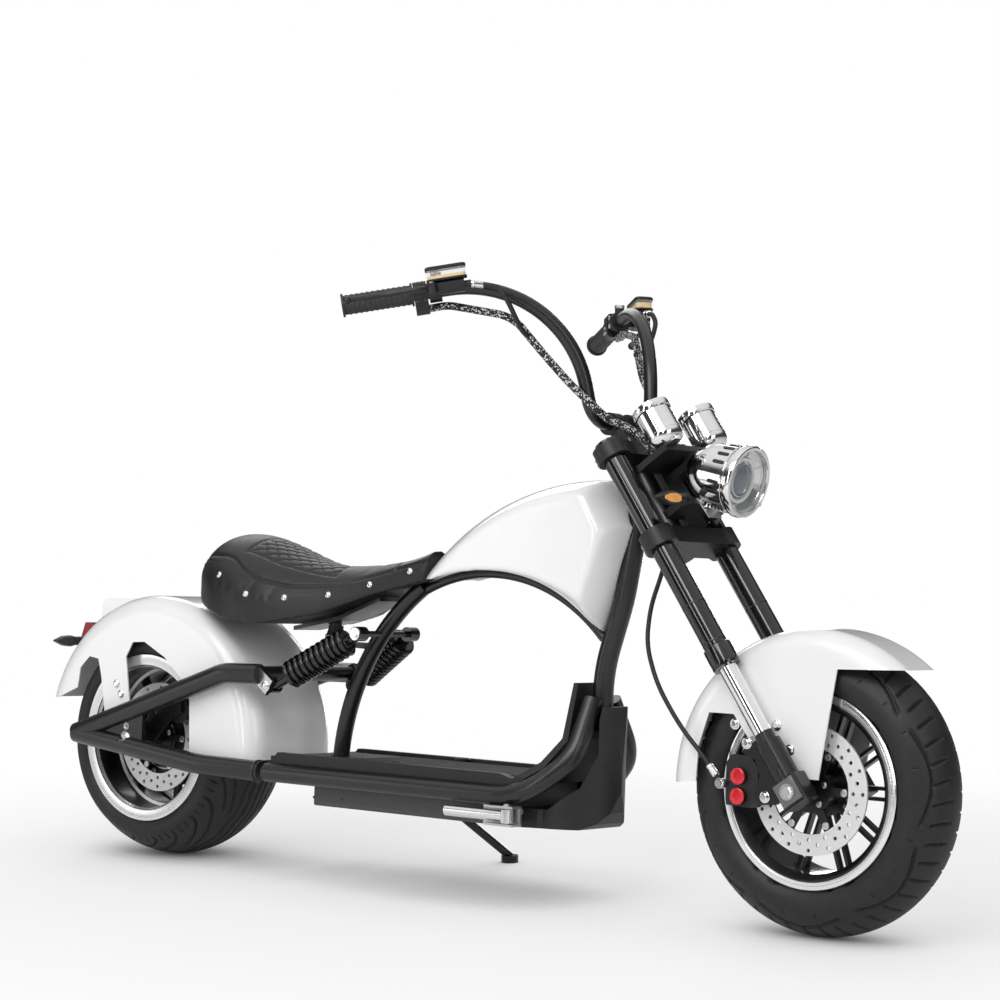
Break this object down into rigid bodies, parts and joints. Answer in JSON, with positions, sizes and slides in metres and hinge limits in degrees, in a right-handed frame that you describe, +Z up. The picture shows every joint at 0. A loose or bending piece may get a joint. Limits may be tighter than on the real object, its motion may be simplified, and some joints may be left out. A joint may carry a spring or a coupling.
{
  "type": "electric chopper scooter",
  "caption": "Low two-wheeled electric scooter in chopper style, raked fork, high handlebar, solo seat and flat deck, parked leaning on its side stand.",
  "frame": {"origin": "centre of the bounding box's bottom, on the floor that the wheels and the side stand rest on", "axes": "+X forward along the scooter's length, +Y to the rider's left, +Z up; the scooter leans 4 degrees towards +Y"},
  "size_m": [2.0519, 0.8808, 1.1575],
  "materials": {
    "body_white": "high gloss white paint",
    "frame_black": "satin black paint",
    "chrome": "mirror chrome",
    "polished": "polished aluminium",
    "steel": "brushed stainless steel",
    "stand_black": "satin black paint",
    "tyre": "matt road tyre rubber",
    "rubber": "matt ribbed rubber",
    "plastic_black": "grained black plastic",
    "lamp_red": "clear red plastic",
    "leather_black": "fine grained black leather",
    "clear_lens": "clear polycarbonate",
    "braided_sleeve": "black braided sleeve with pale flecks",
    "fluid_clear": "clear plastic pot with amber fluid"
  },
  "bodies": {
    "frame": {"frame_spine": "frame_black", "side_rail_left": "frame_black", "side_rail_right": "frame_black", "rear_cross_tube": "frame_black", "seat_tube": "frame_black", "under_tank_tube": "frame_black", "deck_mat": "rubber", "battery_box": "plastic_black", "belly_pan": "plastic_black", "tank": "body_white", "seat_base": "frame_black", "seat": "leather_black", "swingarm_left": "frame_black", "swingarm_right": "frame_black", "swingarm_bridge": "frame_black", "rear_axle": "steel", "shock_left": "frame_black", "shock_right": "frame_black", "rear_fender": "body_white", "tail_lamp": "lamp_red", "rear_signals": "plastic_black", "rear_caliper": "frame_black", "stand_bracket": "frame_black", "peg_brackets": "polished"},
    "steering": {"lower_clamp": "frame_black", "top_clamp": "frame_black", "fork_tube_left": "frame_black", "fork_tube_right": "frame_black", "fork_slider_left": "chrome", "fork_slider_right": "chrome", "front_axle": "steel", "handlebar": "frame_black", "grip_left": "rubber", "grip_right": "rubber", "brake_lever_left": "plastic_black", "brake_lever_right": "plastic_black", "headlamp": "chrome", "headlamp_lens": "clear_lens", "gauge_pods": "chrome", "lamp_bracket": "frame_black", "front_signals": "plastic_black", "front_fender": "body_white", "front_caliper": "frame_black", "front_hose": "rubber", "harness_left": "braided_sleeve", "harness_right": "braided_sleeve", "switch_pods": "plastic_black", "master_cylinders": "frame_black", "reservoirs": "fluid_clear"},
    "front_wheel": {"front_tyre": "tyre", "front_rim": "polished", "front_disc": "steel"},
    "rear_wheel": {"rear_tyre": "tyre", "rear_rim": "polished", "hub_motor": "frame_black", "rear_disc": "steel"},
    "side_stand": {"side_stand": "stand_black"},
    "foot_peg_left": {"foot_peg_left": "polished"},
    "foot_peg_right": {"foot_peg_right": "polished"}
  },
  "joints": [
    {"name": "steering", "type": "hinge", "parent": "frame", "child": "steering", "pos_m": [0.75674, -0.05766, 0.23417], "axis": [-0.5764, 0.057, 0.8152], "range_deg": [-30, 30]},
    {"name": "front_wheel_spin", "type": "hinge", "parent": "steering", "child": "front_wheel", "pos_m": [0.77717, -0.05666, 0.24855], "axis": [0, 0.9976, -0.0698], "continuous": true},
    {"name": "rear_wheel_spin", "type": "hinge", "parent": "frame", "child": "rear_wheel", "pos_m": [-0.75683, -0.05741, 0.23777], "axis": [0, 0.9976, -0.0698], "continuous": true},
    {"name": "side_stand_swing", "type": "hinge", "parent": "frame", "child": "side_stand", "pos_m": [-0.15683, 0.06386, 0.13707], "axis": [0.0438, 0.6042, 0.7957], "range_deg": [0, 95]},
    {"name": "foot_peg_left_fold", "type": "hinge", "parent": "frame", "child": "foot_peg_left", "pos_m": [0.20917, 0.08293, 0.15177], "axis": [0, -0.0698, -0.9976], "range_deg": [0, 90]},
    {"name": "foot_peg_right_fold", "type": "hinge", "parent": "frame", "child": "foot_peg_right", "pos_m": [0.20917, -0.20836, 0.17214], "axis": [0, 0.0698, 0.9976], "range_deg": [0, 90]}
  ]
}
